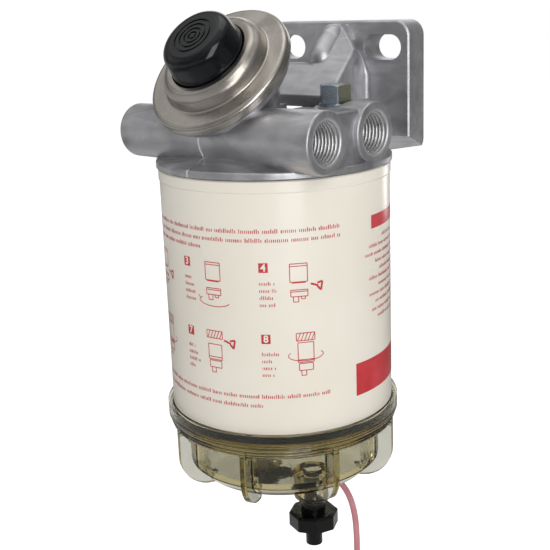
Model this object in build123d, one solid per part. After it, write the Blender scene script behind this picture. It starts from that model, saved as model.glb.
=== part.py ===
from build123d import *
from math import cos, pi, radians, sin, sqrt, tan
import os

# Spin-on fuel water separator: a die-cast head with a wall bracket and a hand primer pump,
# a painted steel can with a pleated element, and a clear bowl with a drain valve and a probe.
# Each piece is modelled about the can's axis, with Z = 0 at the lower edge of the head's lip,
# X along the ports and +Y towards the wall. write_out moves it all to the bracket's bolts.

# Can
can_r = 54.4
can_sheet = 0.6
can_length = 116.8
can_head_gap = 0.5
seam_band = 5.0
seam_step = 0.35
shell_curl = 3.2
fit_gap = 0.05
run_gap = 0.3

# Gasket and its retainer
gasket_set_in = 4.4
gasket_width = 6.0
gasket_proud = 2.4
retainer_drop = 1.9

# Thread plate under the retainer
plate_thick = 3.0
stud_r = 12.7
stud_bore_r = 8.5
stud_in_head = 8.0
stud_in_can = 14.0
plate_collar_wall = 4.3
plate_collar_length = 8.0
plate_hole_r = 5.0
plate_hole_count = 8

# Filter element
element_set_in = 5.4
element_core_r = 20.0
core_wall = 0.8
core_hole_r = 3.0
core_hole_rows = 5
core_hole_count = 8
cap_sheet = 1.0
cap_rim = 3.0
grommet_wall = 3.4
grommet_height = 5.0
pleat_count = 56
pleat_thick = 1.6
pleat_clear = 1.0

# Threaded ring in the bottom of the can
ring_wall = 2.5
ring_web = 2.0
ring_height = 9.9
ring_notch_width = 7.0
ring_notch_depth = 3.2
ring_notch_count = 8

# Clear bowl
collar_set_in = 7.1
collar_wall = 3.0
collar_height = 12.7
lip_gap = 1.0
lip_wall = 1.8
lip_overlap = 0.9
lip_height = 6.2
lip_step = 0.8
lip_step_height = 2.4
neck_drop = 4.5
bowl_wall = 3.5
bowl_depth = 31.3
bowl_floor = 3.0
bowl_corner = 5.0
fin_count = 8
fin_turn = 19.5
fin_thick = 3.0
fin_drop = 4.1
fin_set_in = 0.9
fin_corner = 16.0
fin_root_in = 7.3
fin_edge = 0.8
bowl_seal_width = 4.0
bowl_seal_height = 3.9

# Drain and probe bosses under the bowl
drain_x = 22.5
drain_y = -6.4
probe_x = -20.0
probe_y = 7.0
boss_r = 9.3
boss_drop = 13.5
boss_bore_r = 4.55
boss_edge = 1.2
shank_length = 13.0

# Drain valve
drain_seal_height = 2.0
drain_seal_wall = 1.6
drain_collar_r = 5.9
drain_collar_length = 4.6
knob_r = 12.3
knob_sides = 8
knob_height = 7.6
knob_edge = 1.1
drain_stem_r = 4.1
drain_stem_length = 10.6
drain_bore_r = 2.2

# Water probe
probe_head_r = 8.0
probe_head_height = 8.0
probe_pin_r = 1.5
probe_pin_length = 9.0
gland_r = 3.3
gland_reach = 14.0
gland_turn = 40.0

# Probe lead: the stretch that hangs free, as (along the gland, down from it, aside)
lead_d = 3.3
lead_route = [
    (0.0, 0.0, 0.0),
    (9.3, 0.0, 0.0),
    (18.3, -0.2, 0.4),
    (25.8, -5.4, 0.9),
    (30.8, -13.8, 0.7),
    (33.4, -24.0, -0.2),
    (34.2, -35.5, -0.9),
    (34.3, -48.0, -0.4),
    (34.3, -57.0, -0.4),
]
hank_length = 50.0
hank_width = 23.0
hank_waist = 9.0
hank_thick = 7.4
tie_wall = 1.2
tie_height = 4.5
connector_r = 3.6
connector_length = 20.0

# Head base
head_lip_gap = 1.1
head_lip_wall = 3.2
head_lip_height = 3.0
head_slope = 15.0
head_edge = 1.0
head_crown_r = 24.0
stud_boss_wall = 3.0
stud_bore_end = 1.5
land_z = 2.5
chamber_in_r = 18.0
chamber_out_r = 34.0
chamber_roof = 6.2

# Fuel passages and ports
port_x = 55.2
passage_r = 13.2
passage_end_r = 12.5
passage_z = 15.3
front_y = -31.5
rear_y = 4.2
front_end_x = -59.0
rear_end_x = 25.0
end_round = 3.5
port_boss_r = 13.7
port_rim = 1.1
port_thread_r = 9.4
port_thread_depth = 17.0
port_chamfer = 0.5
bore_r = 7.0
front_bore_length = 96.0
web_back = 2.6
web_edge = 1.4
web_left_x = 39.0
low_web_left_x = 14.4
low_web_z = 25.0
low_web_front_y = -8.0
web_bottom_z = 3.0
foot_r = 8.5
foot_z = 13.5
foot_low_z = 9.0
seam_x = -6.0
seam_low_r = 40.0
seam_r = 0.35

# Vent plug on the rear passage
vent_x = 33.7
vent_face_z = 26.4
vent_turn = 14.0
vent_flats = 12.9
vent_hex_height = 8.4
vent_seal_r = 7.6
vent_seal_height = 1.2
vent_shank_r = 4.0
vent_shank_length = 8.0
vent_edge = 0.7
vent_face_r = 8.8

# Primer pump, tilted to the front
pump_x = -5.0
pump_y = -31.2
pump_z = 45.4
pump_tilt = 45.0
cover_r = 34.7
cover_sheet = 1.0
cover_lip = 1.0
cover_edge = 2.0
dome_foot_r = 25.8
dome_side_r = 24.5
dome_side_h = 5.2
dome_top_r = 21.8
dome_top_h = 8.2
mouth_r = 18.2
mouth_depth = 2.8
diaphragm_thick = 1.2
diaphragm_r = 32.8
flange_r = 33.4
flange_thick = 1.8
housing_r = 28.5
neck_step = 1.0
clamp_step = 0.5
housing_wall = 8.5
housing_end_r = 16.0
housing_length = 30.0
chamber_depth = 14.3
pad_r = 31.8
pad_h = -9.2
plate_rise = 1.4
upper_plate_r = 17.6
lower_plate_r = 15.0
clamp_plate = 1.2
plate_lip = 1.0
rod_r = 3.0
rod_head_r = 4.4
rod_head = 1.8
knob_skirt_r = 17.9
knob_skirt = 3.2
knob_body_r = 17.6
knob_top_r = 16.4
knob_low = 6.0
knob_top = 20.5
knob_round = 5.2
knob_wall = 2.4
knob_rings = [9.4, 6.9, 4.5, 2.3]
knob_ring_width = 0.9
knob_ring_depth = 0.7
spring_r = 6.2
spring_wire = 1.2
spring_turns = 4.0
valve_r = 4.6
valve_thick = 1.2
valve_stem_r = 1.3
valve_stem_length = 4.2
valve_spread = 13.0
valve_hole_r = 0.7
duct_r = 3.0
duct_wall = 4.0

# Block behind the pump and its neck
block_left_x = -27.0
block_right_x = 24.5
block_front_y = 12.0
block_low_z = 29.0
block_face = 19.8
block_under = 8.0
block_back_y = 32.6
block_top_round = 5.0
block_back_round = 1.0
block_end_round = 1.4
neck_left_x = -25.0
neck_right_x = -9.0
neck_top_z = 34.0
neck_low_z = 24.6
window_left_x = 4.0
window_low_z = 17.0
window_top_z = 26.0

# Wall bracket
bracket_x = 0.7
bracket_half = 43.4
bracket_top_z = 61.7
bracket_low_z = 1.7
bracket_sag = 4.0
bracket_front_y = 48.7
bracket_depth = 13.3
bracket_wall = 4.5
bracket_corner = 7.5
bracket_step_z = 24.5
bracket_step_x = -18.0
bracket_edge = 0.8
bracket_foot_z = 7.4
bracket_floor_z = 12.0
slot_spacing = 57.0
slot_z = 49.3
slot_length = 21.1
slot_height = 11.8
slot_boss_wall = 3.6
shelf_front_y = 34.0
shelf_left_x = 8.0
shelf_right_x = 30.0
shelf_thick = 6.5
shelf_rise = 5.0
rib_r = 6.8
rib_x = 5.6
rib_set_back = 4.5
rib_foot_y = 32.5
slope_left_x = 5.0
slope_bend_x = 19.3
slope_bend_y = 36.7
slope_end_x = 9.3
slope_end_y = 43.3
slope_thick = 6.0
slope_edge = 0.9
gusset_right_x = 19.5
gusset_left_x = 1.5
gusset_front_y = 30.0
gusset_low_z = 24.5
gusset_knee_z = 36.0
gusset_bend_x = 17.2
gusset_bend_z = 44.5
gusset_top_x = 9.0
gusset_shoulder_z = 51.5
gusset_top_z = 60.5
gusset_cove = 3.2
gusset_cove_end = 0.8
shelf_knee_y = 40.0
shelf_under_y = 42.0

# Radii and levels that follow from the sizes above
gasket_out_r = can_r - gasket_set_in
gasket_in_r = gasket_out_r - gasket_width
element_r = can_r - element_set_in
collar_r = can_r - collar_set_in
fin_root_r = collar_r - collar_wall - fin_root_in
clamp_r = housing_r + clamp_step
chamber_r = housing_r - housing_wall
cover_lip_r = housing_r + neck_step + run_gap
can_top_z = -can_head_gap
can_bottom_z = can_top_z - can_length
retainer_z = can_top_z - retainer_drop
plate_z = retainer_z - can_sheet
collar_end_z = plate_z - plate_thick - plate_collar_length
element_top_z = collar_end_z - cap_sheet
ring_top_z = can_bottom_z + can_sheet + ring_height
channel_z = can_bottom_z - bowl_seal_height
lip_top_z = can_bottom_z + lip_overlap
lip_r = can_r + lip_gap + lip_wall
floor_z = channel_z - bowl_depth
boss_z = floor_z - boss_drop
drain_seal_z = boss_z - drain_seal_height
knob_z = drain_seal_z - drain_collar_length
head_r = can_r + head_lip_gap
stud_roof_z = land_z + stud_in_head + stud_bore_end
slope_rise = block_low_z - block_front_y
pump_place = Plane(
    origin=(pump_x, pump_y, pump_z),
    x_dir=(1, 0, 0),
    z_dir=(0, -sin(radians(pump_tilt)), cos(radians(pump_tilt))),
).location
flange_top = -cover_sheet - diaphragm_thick
chamber_floor = flange_top - chamber_depth


def turned(points, axis=Axis.Z):
    """A solid of revolution about Z from (radius, height) corners."""
    outline = Polyline([(r, 0, z) for r, z in points], close=True)
    return revolve(make_face(outline), axis)


def rod(radius, low, high, x=0.0, y=0.0):
    """A round bar along Z between two heights."""
    return Pos(x, y, low) * Cylinder(radius, high - low, align=(Align.CENTER, Align.CENTER, Align.MIN))


def pipe(outer, inner, low, high, x=0.0, y=0.0):
    """A round tube along Z between two heights."""
    return rod(outer, low, high, x, y) - rod(inner, low - 1, high + 1, x, y)


def bar_x(radius, start, end, y, z):
    """A round bar along X."""
    return Pos(start, y, z) * Rot(0, 90, 0) * rod(radius, 0, end - start)


def cone_x(start_r, end_r, start, end, y, z):
    """A round taper along X."""
    taper = Cone(start_r, end_r, end - start, align=(Align.CENTER, Align.CENTER, Align.MIN))
    return Pos(start, y, z) * Rot(0, 90, 0) * taper


def block(x, y, z):
    """A box between (low, high) pairs on each axis."""
    size = Box(x[1] - x[0], y[1] - y[0], z[1] - z[0], align=(Align.MIN, Align.MIN, Align.MIN))
    return Pos(x[0], y[0], z[0]) * size


def side_profile(points, low_x, high_x):
    """A prism along X from (y, z) corners."""
    face = make_face(Polyline([(low_x, y, z) for y, z in points], close=True))
    return extrude(face, high_x - low_x, dir=(1, 0, 0))


def link(radius, start, end):
    """A round bar between two points."""
    a = Vector(*start)
    b = Vector(*end)
    return Plane(origin=a, z_dir=b - a).location * rod(radius, 0, (b - a).length)


def rounded_face(points):
    """A flat face on XZ from (x, z, rounding) corners."""
    outline = make_face(Polyline([(x, 0, z) for x, z, _ in points], close=True))
    for x, z, rounding in points:
        if rounding > 0:
            corner = [v for v in outline.vertices() if abs(v.X - x) < 0.01 and abs(v.Z - z) < 0.01]
            outline = fillet(corner, rounding)
    return outline


def soft_turned(points):
    """A solid of revolution about Z from (radius, height, rounding) corners."""
    return revolve(rounded_face(points), Axis.Z)


def dome_z(r):
    """Height of the head's sloping shoulder at a radius."""
    return head_lip_height + (head_r - r) * tan(radians(head_slope))


# Head base: lip, shoulder, gasket land and the chamber under it
def head_base():
    crown_z = dome_z(head_crown_r)
    inner = head_r - head_lip_wall
    base = soft_turned([(0, land_z, 0), (inner, land_z, 0), (inner, 0, 0), (head_r, 0, 0),
                        (head_r, head_lip_height, head_edge), (head_crown_r, crown_z, 0), (0, crown_z, 0)])
    return base + rod(stud_r + stud_boss_wall, land_z, stud_roof_z + stud_boss_wall)


def head_hollows():
    solid = pipe(chamber_out_r, chamber_in_r, land_z - 1, chamber_roof)
    solid += rod(head_r - head_lip_wall, -head_lip_height, land_z)
    solid += rod(stud_r + fit_gap, 0, land_z + stud_in_head)
    return solid + rod(stud_bore_r, 0, stud_roof_z)


# Fuel passages with their port bosses, and the web between the ports
def end_ring(solid, index):
    return solid.edges().filter_by(GeomType.CIRCLE).sort_by(Axis.X)[index]


def passages():
    front = cone_x(passage_end_r, port_boss_r, front_end_x, port_x, front_y, passage_z)
    rear = cone_x(passage_r, port_boss_r, rear_end_x, port_x, rear_y, passage_z)
    front = fillet(end_ring(fillet(end_ring(front, 0), end_round), -1), port_rim)
    rear = fillet(end_ring(fillet(end_ring(rear, 0), end_round), -1), port_rim)
    solid = front + rear
    web = block((web_left_x, port_x - web_back), (front_y, rear_y), (web_bottom_z, vent_face_z))
    web = fillet(web.faces().sort_by(Axis.X)[-1].edges().sort_by(Axis.Z)[-1], web_edge)
    low_web = block((low_web_left_x, web_left_x + 1), (low_web_front_y, rear_y), (web_bottom_z, low_web_z))
    skirt = block((front_end_x / 2, low_web_left_x + 1), (front_y, front_y + passage_r),
                  (web_bottom_z, passage_z))
    skirt = skirt & rod(head_r - head_lip_wall, 0, passage_z)
    foot = link(foot_r, (rear_end_x + end_round, rear_y, foot_z), (-end_round, 0, foot_low_z))
    foot = foot & rod(head_r, land_z, passage_z + passage_r)
    seam = bar_x(passage_r + seam_r / 2, seam_x - seam_r, seam_x + seam_r, front_y, passage_z)
    seam = seam & block((seam_x - 1, seam_x + 1), (-head_r, front_y),
                        (dome_z(seam_low_r), passage_z + passage_r))
    seam += link(seam_r, (seam_x, front_y - 5, dome_z(-front_y + 5)),
                 (seam_x / 2, -head_r + 1, dome_z(head_r - 1)))
    return solid + web + low_web + skirt + foot + seam


def port_holes():
    solid = None
    for y in (front_y, rear_y):
        hole = bar_x(port_thread_r, port_x - port_thread_depth, port_x + 1, y, passage_z)
        mouth = cone_x(port_thread_r, port_thread_r + port_chamfer, port_x - port_chamfer, port_x,
                       y, passage_z)
        solid = hole + mouth if solid is None else solid + hole + mouth
    solid += bar_x(bore_r, port_x - front_bore_length, port_x, front_y, passage_z)
    solid += bar_x(bore_r, rear_end_x + end_round, port_x, rear_y, passage_z)
    start = (rear_end_x + end_round + bore_r, rear_y, passage_z - 1)
    solid += link(bore_r - 2, start, (0, 0, foot_low_z))
    return solid + rod(bore_r - 3, 0, passage_z, front_end_x / 2, front_y + duct_r)


# Primer pump housing, in the pump's own frame: Z out of the cover, Z = 0 on its flat
def pump_housing():
    low = flange_top - flange_thick
    under = low - cover_lip - run_gap
    neck = housing_r + neck_step
    solid = turned([(0, flange_top), (flange_r, flange_top), (flange_r, low), (neck, low), (neck, under),
                    (pad_r, under), (pad_r, pad_h), (housing_r - 2, pad_h),
                    (housing_end_r, -housing_length), (0, -housing_length)])
    return pump_place * solid


def pump_hollows():
    low = flange_top - flange_thick
    solid = turned([(0, flange_top + 1), (clamp_r, flange_top + 1), (clamp_r, flange_top),
                    (clamp_r - 2, low), (chamber_r + 4, low - 3), (chamber_r, low - 7),
                    (chamber_r, chamber_floor), (0, chamber_floor)])
    relief = pipe(cover_r + run_gap, housing_r + neck_step, low - cover_lip - run_gap, low)
    relief += pipe(cover_r + run_gap, flange_r, low, 0)
    for side in (-1, 1):
        solid += rod(valve_stem_r + fit_gap, chamber_floor - valve_stem_length - 1, chamber_floor,
                     side * valve_spread, 0)
        for turn in range(4):
            angle = radians(45 + 90 * turn)
            reach = (valve_r + valve_stem_r) / 2
            solid += rod(valve_hole_r, chamber_floor - valve_stem_length, chamber_floor,
                         side * valve_spread + reach * cos(angle), reach * sin(angle))
    return pump_place * (solid + relief)


def valve_pocket(side):
    """Where the drilled way under a valve starts."""
    depth = chamber_floor - valve_stem_length
    return (pump_place * Pos(side * valve_spread, 0, depth)).position


def pump_ducts():
    """Drilled ways from the two valves to the front passage and to the can's chamber."""
    start = valve_pocket(-1)
    solid = link(duct_r, (start.X, start.Y, start.Z), (start.X, front_y, passage_z))
    start = valve_pocket(1)
    return solid + rod(duct_r, land_z, start.Z, start.X, start.Y)


def pump_down_pipe():
    start = valve_pocket(1)
    return rod(duct_r + duct_wall, land_z, start.Z + duct_r, start.X, start.Y)


# Block behind the pump, its neck, and the slanted web and gusset that join it to the bracket
def block_bar(corners, left, right):
    """A bar along X under the block's slanted face, from its upper (y, z, rounding) corners."""
    slant = radians(45)
    low = (block_front_y, block_low_z)
    under = (low[0] + block_under * cos(slant), low[1] - block_under * sin(slant))
    face = rounded_face([(low[0], low[1], 1.0)] + corners + [(block_back_y, under[1], 0),
                                                             (under[0], under[1], 2.0)])
    bar = extrude(face, right - left, dir=(0, -1, 0))
    return Pos(left, 0, 0) * Rot(0, 0, 90) * bar


def back_block():
    top_y = block_front_y + block_face * cos(radians(45))
    top_z = block_low_z + block_face * sin(radians(45))
    bar = block_bar([(top_y, top_z, block_top_round), (block_back_y, top_z, block_back_round)],
                    block_left_x, slope_left_x + 1)
    end = block_bar([(block_back_y, block_back_y + slope_rise, 0)], slope_left_x, block_right_x)
    bar += fillet(end.faces().sort_by(Axis.X)[-1].edges(), block_end_round)
    reach = pump_y + housing_end_r
    back = block_front_y + block_under + 2
    neck = block((neck_left_x, neck_right_x), (reach, back), (neck_low_z, neck_top_z))
    neck += block((neck_right_x - 2, window_left_x), (reach / 2, 6), (window_low_z, window_top_z))
    return bar + neck


def slant_web():
    """The web that carries the slanted face on up to the bracket, with a curved side."""
    def at(x, y):
        return (x, y, y + slope_rise)
    foot = at(block_right_x, block_back_y)
    curve = ThreePointArc(foot, at(slope_bend_x, slope_bend_y), at(slope_end_x, slope_end_y))
    low_y = block_front_y + block_face / 2
    inset = block_right_x - block_end_round
    rest = Polyline(at(slope_end_x, slope_end_y), at(slope_left_x, slope_end_y), at(slope_left_x, low_y),
                    at(inset, low_y), at(inset, block_back_y - block_end_round), foot)
    solid = extrude(make_face(Curve() + [curve, rest]), slope_thick, dir=(0, 1, -1))
    edge = [e for e in solid.edges() if e.geom_type == GeomType.CIRCLE]
    return chamfer(edge, slope_edge)


def rib():
    """The round rib: up along the slope from a ball foot, then level into the bracket."""
    rise = slope_rise - rib_set_back
    foot = (rib_x, rib_foot_y, rib_foot_y + rise)
    knee = (rib_x, gusset_top_z - rib_r - rise, gusset_top_z - rib_r)
    solid = Pos(*foot) * Sphere(rib_r) + link(rib_r, foot, knee)
    solid += Pos(*knee) * Sphere(rib_r)
    return solid + link(rib_r, knee, (rib_x, bracket_front_y + bracket_wall, gusset_top_z - rib_r))


def cove(x, size, z):
    """The hollow corner between the gusset and the bracket, as a level section."""
    y = bracket_front_y
    bend = size * (1 - sqrt(0.5))
    arc = ThreePointArc((x, y - size, z), (x + bend, y - bend, z), (x + size, y, z))
    rest = Polyline((x + size, y, z), (x + size, y + 1, z), (x - 1, y + 1, z), (x - 1, y - size, z),
                    (x, y - size, z))
    return make_face(Curve() + [arc, rest])


def gusset():
    back = bracket_front_y + 1
    low = block((gusset_left_x, gusset_right_x), (block_back_y - 12, back), (land_z, block_low_z))
    side = Polyline((gusset_right_x, 0, gusset_low_z), (gusset_right_x, 0, gusset_knee_z))
    bend = ThreePointArc((gusset_right_x, 0, gusset_knee_z), (gusset_bend_x, 0, gusset_bend_z),
                         (gusset_top_x, 0, gusset_shoulder_z))
    rest = Polyline((gusset_top_x, 0, gusset_shoulder_z), (gusset_top_x, 0, gusset_top_z),
                    (gusset_left_x, 0, gusset_top_z), (gusset_left_x, 0, gusset_low_z),
                    (gusset_right_x, 0, gusset_low_z))
    upper = extrude(make_face(Curve() + [side, bend, rest]), back, dir=(0, 1, 0))
    top_y = gusset_top_z - slope_rise
    slope = side_profile([(gusset_front_y, gusset_low_z), (gusset_front_y, gusset_front_y + slope_rise),
                          (top_y, gusset_top_z), (back, gusset_top_z), (back, gusset_low_z)],
                         gusset_left_x - 1, gusset_right_x + 1)
    upper = upper & slope
    corner = extrude(cove(gusset_right_x, gusset_cove, gusset_low_z), gusset_knee_z - gusset_low_z,
                     dir=(0, 0, 1))
    corner += loft([cove(gusset_right_x, gusset_cove, gusset_knee_z),
                    cove(gusset_bend_x, gusset_cove_end, gusset_bend_z)], ruled=True)
    return low + upper + corner + slant_web() + rib()


# Wall bracket: an open-backed box with two slotted bosses
def bracket_outline(inset, foot_z):
    step = bracket_step_z
    points = [(bracket_half - inset, foot_z), (bracket_half - inset, bracket_top_z - inset),
              (-bracket_half + inset, bracket_top_z - inset), (-bracket_half + inset, step + inset),
              (bracket_step_x + inset, step + inset),
              (shelf_left_x + inset, foot_z)]
    face = make_face(Polyline([(x, bracket_front_y, z) for x, z in points], close=True))
    return fillet(face.vertices(), bracket_corner - inset)


def slot_shape(extra):
    length = slot_length + 2 * extra
    height = slot_height + 2 * extra
    return Plane(origin=(0, bracket_front_y, slot_z), x_dir=(1, 0, 0), z_dir=(0, 1, 0)) * SlotOverall(
        length, height)


def foot_wedge():
    """What the sloping underside takes off the foot, more at the right end than in the middle."""
    ends = []
    for x, sag in ((0, bracket_sag * 2), (bracket_half + 1, 0)):
        low = bracket_low_z - sag
        deep = -bracket_top_z
        slope = (bracket_foot_z - low) / bracket_depth
        corners = [(x, bracket_front_y - 1, bracket_foot_z + slope), (x, bracket_front_y - 1, deep),
                   (x, bracket_front_y + bracket_depth + 1, deep),
                   (x, bracket_front_y + bracket_depth + 1, low - slope)]
        ends.append(make_face(Polyline(corners, close=True)))
    return loft(ends, ruled=True)


def bracket():
    outer = extrude(bracket_outline(0, bracket_low_z - bracket_sag), bracket_depth, dir=(0, 1, 0))
    wedge = foot_wedge()
    solid = chamfer(outer.faces().sort_by(Axis.Y)[0].edges(), bracket_edge) - wedge
    hollow = extrude(bracket_outline(bracket_wall, bracket_floor_z), bracket_depth, dir=(0, 1, 0))
    solid -= Pos(0, bracket_wall, 0) * hollow
    for side in (-1, 1):
        boss = Pos(side * slot_spacing / 2, 0, 0) * extrude(
            slot_shape(slot_boss_wall), bracket_depth, dir=(0, 1, 0))
        solid += boss & (outer - wedge)
    return solid


def slot_holes():
    solid = None
    for side in (-1, 1):
        hole = Pos(side * slot_spacing / 2, -1, 0) * extrude(slot_shape(0), bracket_depth + 2, dir=(0, 1, 0))
        solid = hole if solid is None else solid + hole
    return solid


def shelf():
    """The low shelf that joins the head's shoulder to the foot of the bracket."""
    back = bracket_front_y + 1
    top = bracket_low_z + shelf_thick
    return side_profile([(shelf_front_y, land_z), (shelf_front_y, top), (shelf_knee_y, top + 1),
                         (back, top + shelf_rise), (back, bracket_foot_z), (shelf_under_y, land_z)],
                        shelf_left_x, shelf_right_x)


def vent_boss():
    return rod(vent_face_r, passage_z, vent_face_z, vent_x, rear_y)


def vent_hole():
    solid = rod(vent_face_r, vent_face_z, vent_face_z + passage_r, vent_x, rear_y)
    return solid + rod(vent_shank_r + fit_gap, passage_z, vent_face_z + 1, vent_x, rear_y)


def head_casting():
    solid = head_base() + passages() + pump_housing() + pump_down_pipe() + back_block()
    solid += gusset() + Pos(bracket_x, 0, 0) * bracket() + shelf() + vent_boss()
    solid -= head_hollows()
    solid -= port_holes()
    solid -= pump_hollows()
    solid -= pump_ducts()
    solid -= Pos(bracket_x, 0, 0) * slot_holes()
    solid -= vent_hole()
    return solid


def center_stud():
    return pipe(stud_r, stud_bore_r, plate_z - stud_in_can, land_z + stud_in_head)


# Primer pump pieces
def pump_cover():
    t = cover_sheet
    low = flange_top - flange_thick
    points = [
        (mouth_r, dome_top_h - mouth_depth, 0), (mouth_r, dome_top_h - 0.2, 0.7),
        (dome_top_r, dome_top_h, 3.0), (dome_side_r, dome_side_h, 4.0), (dome_foot_r, 0, 0.8),
        (cover_r, 0, cover_edge), (cover_r, low - cover_lip, 0.6), (cover_lip_r, low - cover_lip, 0),
        (cover_lip_r, low, 0), (cover_r - t, low, 0), (cover_r - t, -t, 0.8), (dome_foot_r - 0.8, -t, 0.8),
        (dome_side_r - 0.9, dome_side_h - 0.5, 2.6), (dome_top_r - 0.4, dome_top_h - t - 0.1, 2.0),
        (mouth_r + t, dome_top_h - t - 0.2, 0), (mouth_r + t, dome_top_h - mouth_depth, 0)]
    return pump_place * soft_turned(points)


def diaphragm():
    t = diaphragm_thick
    top = -cover_sheet
    rise = plate_rise
    roll = upper_plate_r + 2.0
    step = (clamp_r - roll) / 47
    points = [
        (rod_r + fit_gap, rise, 0), (roll, rise, 1.0), (roll + 11 * step, rise + 1.5, 1.2),
        (roll + 20 * step, rise - 0.2, 1.5), (roll + 27 * step, top - 0.6, 1.2), (roll + 37 * step, top, 0),
        (diaphragm_r, top, 0), (diaphragm_r, top - t, 0), (roll + 35 * step, top - t, 0),
        (roll + 24 * step, top - t - 0.5, 1.2), (roll + 15 * step, rise - 0.9, 1.2),
        (roll + 11 * step, rise + 0.1, 0.4), (roll + 3 * step, rise - t, 0.6),
        (rod_r + fit_gap, rise - t, 0)]
    return pump_place * soft_turned(points)


def pressed_plate(radius, low, side):
    """A round clamp plate with its edge turned away from the diaphragm."""
    high = low + clamp_plate
    edge_z = high + plate_lip if side > 0 else low - plate_lip
    face_z = high if side > 0 else low
    back_z = low if side > 0 else high
    return pump_place * turned([
        (rod_r + fit_gap, back_z), (radius, back_z), (radius, edge_z), (radius - clamp_plate, edge_z),
        (radius - clamp_plate, face_z), (rod_r + fit_gap, face_z)])


def upper_plate():
    return pressed_plate(upper_plate_r, plate_rise, 1)


def lower_plate():
    return pressed_plate(lower_plate_r, plate_rise - diaphragm_thick - clamp_plate, -1)


def pump_rod():
    foot = plate_rise - diaphragm_thick - clamp_plate
    high = knob_top - knob_wall - 3
    return pump_place * turned([(0, foot - rod_head), (rod_head_r, foot - rod_head), (rod_head_r, foot),
                                (rod_r, foot), (rod_r, high), (0, high)])


def pump_knob():
    shoulder = knob_low + knob_skirt
    inside = knob_body_r - knob_wall
    seat = plate_rise + clamp_plate
    hub = rod_r + knob_wall
    solid = soft_turned([
        (rod_r + fit_gap, seat, 0), (hub, seat, 0.5), (hub, knob_top - knob_wall - 1, 0.8),
        (inside, knob_top - knob_wall - 1, 3.0), (inside, knob_low, 0), (knob_skirt_r, knob_low, 0.4),
        (knob_skirt_r, shoulder, 0.5), (knob_body_r, shoulder + 0.8, 0.5),
        (knob_top_r, knob_top, knob_round), (0, knob_top, 0), (0, knob_top - knob_wall - 3, 0),
        (rod_r + fit_gap, knob_top - knob_wall - 3, 0)])
    for ring in knob_rings:
        solid -= pipe(ring, ring - knob_ring_width, knob_top - knob_ring_depth, knob_top + 1)
    return pump_place * solid


def pump_spring():
    low = chamber_floor + spring_wire / 2 + fit_gap
    high = plate_rise - diaphragm_thick - clamp_plate - spring_wire / 2 - fit_gap
    path = Helix(pitch=(high - low) / spring_turns, height=high - low, radius=spring_r, center=(0, 0, low))
    section = Plane(origin=path @ 0, z_dir=path % 0) * Circle(spring_wire / 2)
    return pump_place * sweep(section, path=path, is_frenet=True)


def umbrella_valve(side):
    low = chamber_floor
    solid = turned([(0, low - valve_stem_length), (valve_stem_r, low - valve_stem_length),
                    (valve_stem_r, low), (valve_r, low), (valve_r, low + valve_thick * 0.4),
                    (valve_stem_r, low + valve_thick), (0, low + valve_thick)])
    return pump_place * Pos(side * valve_spread, 0, 0) * solid


# Vent plug and its seal
def vent_plug():
    low = vent_face_z + vent_seal_height
    head = extrude(RegularPolygon(vent_flats / 2, 6, major_radius=False), vent_hex_height)
    cone = Cone(vent_flats / 2 + vent_edge + vent_hex_height * 1.7, vent_flats / 2 - vent_edge / 2,
                vent_hex_height, align=(Align.CENTER, Align.CENTER, Align.MIN))
    solid = Rot(0, 0, vent_turn) * head & cone
    solid = Pos(vent_x, rear_y, low) * solid
    return solid + rod(vent_shank_r, low - vent_shank_length, low, vent_x, rear_y)


def vent_seal():
    return pipe(vent_seal_r, vent_shank_r + run_gap, vent_face_z, vent_face_z + vent_seal_height,
                vent_x, rear_y)


# Can pieces
def can_shell():
    t = can_sheet
    band = can_r + seam_step
    top = can_top_z
    low = can_bottom_z
    curl = can_r - shell_curl
    points = [(curl, top), (band - 0.6, top), (band, top - 0.6), (band, top - seam_band),
              (can_r, top - seam_band - 0.5), (can_r, low + 0.8), (can_r - 0.8, low), (curl, low),
              (curl, low + t), (can_r - t, low + t), (can_r - t, top - t), (curl, top - t)]
    return turned(points)


def gasket_retainer():
    t = can_sheet
    wall = gasket_out_r + run_gap
    low = retainer_z - t
    outer = can_r - can_sheet - fit_gap
    points = [(gasket_in_r - run_gap - t, retainer_z + 1.2), (gasket_in_r - run_gap, retainer_z + 1.2),
              (gasket_in_r - run_gap, retainer_z), (wall, retainer_z), (wall, can_top_z - t),
              (outer, can_top_z - t), (outer, can_top_z - 2 * t), (wall + t, can_top_z - 2 * t),
              (wall + t, low), (gasket_in_r - run_gap - t, low)]
    return turned(points)


def thread_plate():
    collar = stud_r + fit_gap + plate_collar_wall
    low = plate_z - plate_thick
    solid = turned([(stud_r + fit_gap, plate_z), (gasket_out_r, plate_z), (gasket_out_r, low),
                    (collar, low), (collar, collar_end_z), (stud_r + fit_gap, collar_end_z)])
    circle = (collar + gasket_in_r) / 2
    hole = rod(plate_hole_r, low - 1, plate_z + 1)
    for index in range(plate_hole_count):
        solid -= Rot(0, 0, 360 * index / plate_hole_count) * Pos(circle, 0, 0) * hole
    return solid


def can_gasket():
    return pipe(gasket_out_r, gasket_in_r, retainer_z, land_z)


def element_grommet():
    inner = stud_r + fit_gap + plate_collar_wall + fit_gap
    low = collar_end_z
    return pipe(inner + grommet_wall, inner, low, low + grommet_height)


def upper_end_cap():
    grip = stud_r + fit_gap * 2 + plate_collar_wall + grommet_wall + fit_gap
    t = cap_sheet
    z = element_top_z
    top = z + t + grommet_height
    return turned([(stud_r, z + t), (grip, z + t), (grip, top), (grip + t, top), (grip + t, z + t),
                   (element_r, z + t), (element_r, z - cap_rim), (element_r - t, z - cap_rim),
                   (element_r - t, z), (stud_r, z)])


def lower_end_cap():
    t = cap_sheet
    z = ring_top_z
    return turned([(0, z), (element_r, z), (element_r, z + t + cap_rim), (element_r - t, z + t + cap_rim),
                   (element_r - t, z + t), (0, z + t)])


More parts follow.
